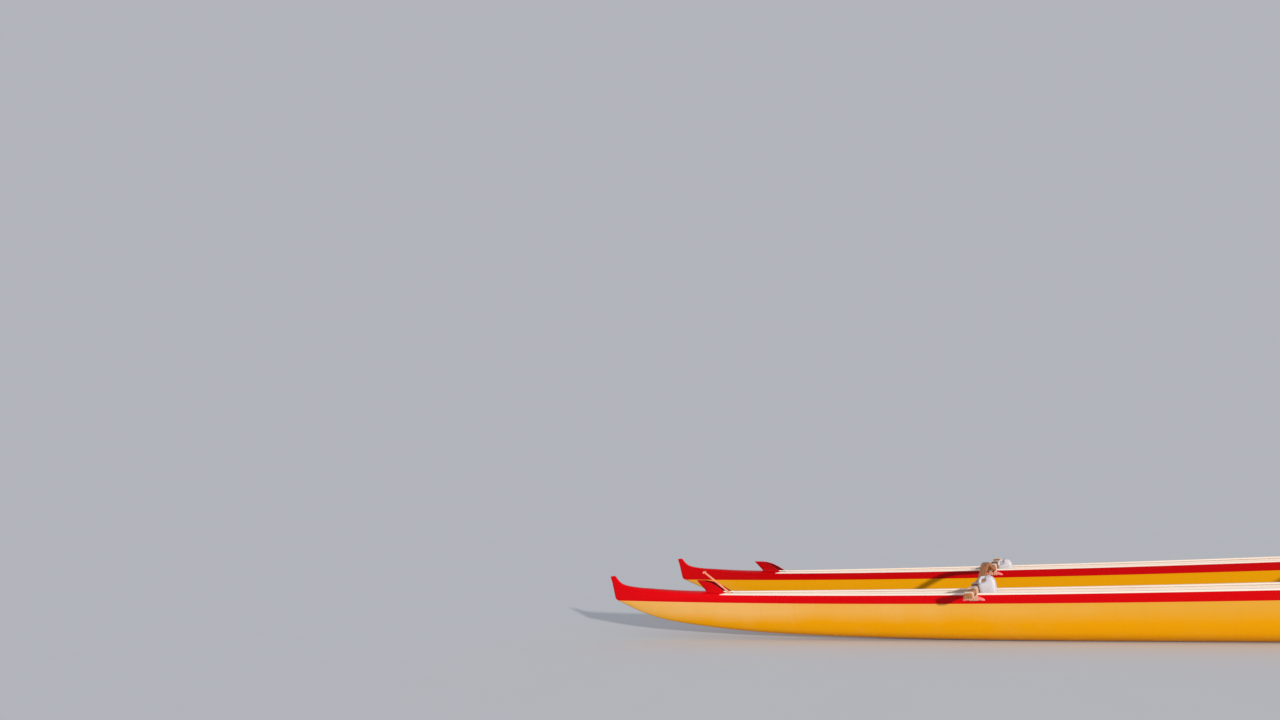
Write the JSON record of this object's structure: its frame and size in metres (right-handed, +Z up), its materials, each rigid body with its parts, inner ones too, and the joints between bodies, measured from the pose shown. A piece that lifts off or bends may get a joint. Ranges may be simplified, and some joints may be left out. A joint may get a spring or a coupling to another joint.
{
  "type": "outrigger canoe",
  "caption": "Double-hulled outrigger canoe: two slim open hulls with raised red ends, joined by lashed arched crossbeams, with seats, a paddle and bailers.",
  "frame": {"origin": "on the ground, under the middle of the canoe", "axes": "+X towards the bow, +Y to port, +Z up"},
  "size_m": [13.44, 3.2744, 0.8656],
  "materials": {
    "yellow_gelcoat": "glossy painted laminate",
    "red_gelcoat": "glossy painted laminate",
    "white_paint": "satin paint",
    "varnished_wood": "satin varnish",
    "paddle_wood": "satin varnish",
    "cotton_cord": "matte",
    "white_plastic": "satin"
  },
  "bodies": {
    "root": {"port_hull_shell_bow": "yellow_gelcoat", "port_hull_shell_middle": "yellow_gelcoat", "port_hull_shell_stern": "yellow_gelcoat", "port_hull_bow_piece": "red_gelcoat", "port_hull_stern_piece": "red_gelcoat", "port_hull_splash_guard": "red_gelcoat", "port_hull_bailer": "white_plastic", "port_hull_seat_1": "varnished_wood", "port_hull_seat_2": "varnished_wood", "port_hull_seat_3": "varnished_wood", "port_hull_seat_4": "varnished_wood", "port_hull_seat_5": "varnished_wood", "port_hull_seat_6": "varnished_wood", "port_hull_strake_front_outboard": "red_gelcoat", "port_hull_rail_front_outboard": "white_paint", "port_hull_lashing_front_outboard": "cotton_cord", "port_hull_strake_rear_outboard": "red_gelcoat", "port_hull_rail_rear_outboard": "white_paint", "port_hull_lashing_rear_outboard": "cotton_cord", "port_hull_strake_front_inboard": "red_gelcoat", "port_hull_rail_front_inboard": "white_paint", "port_hull_lashing_front_inboard": "cotton_cord", "port_hull_strake_rear_inboard": "red_gelcoat", "port_hull_rail_rear_inboard": "white_paint", "port_hull_lashing_rear_inboard": "cotton_cord", "port_hull_spreader_front": "varnished_wood", "port_hull_spreader_rear": "varnished_wood", "starboard_hull_shell_bow": "yellow_gelcoat", "starboard_hull_shell_middle": "yellow_gelcoat", "starboard_hull_shell_stern": "yellow_gelcoat", "starboard_hull_bow_piece": "red_gelcoat", "starboard_hull_stern_piece": "red_gelcoat", "starboard_hull_splash_guard": "red_gelcoat", "starboard_hull_bailer": "white_plastic", "starboard_hull_seat_1": "varnished_wood", "starboard_hull_seat_2": "varnished_wood", "starboard_hull_seat_3": "varnished_wood", "starboard_hull_seat_4": "varnished_wood", "starboard_hull_seat_5": "varnished_wood", "starboard_hull_seat_6": "varnished_wood", "starboard_hull_strake_front_outboard": "red_gelcoat", "starboard_hull_rail_front_outboard": "white_paint", "starboard_hull_lashing_front_outboard": "cotton_cord", "starboard_hull_strake_rear_outboard": "red_gelcoat", "starboard_hull_rail_rear_outboard": "white_paint", "starboard_hull_lashing_rear_outboard": "cotton_cord", "starboard_hull_strake_front_inboard": "red_gelcoat", "starboard_hull_rail_front_inboard": "white_paint", "starboard_hull_lashing_front_inboard": "cotton_cord", "starboard_hull_strake_rear_inboard": "red_gelcoat", "starboard_hull_rail_rear_inboard": "white_paint", "starboard_hull_lashing_rear_inboard": "cotton_cord", "starboard_hull_spreader_front": "varnished_wood", "starboard_hull_spreader_rear": "varnished_wood", "crossbeam_front": "varnished_wood", "crossbeam_rear": "varnished_wood", "paddle": "paddle_wood"}
  },
  "joints": []
}
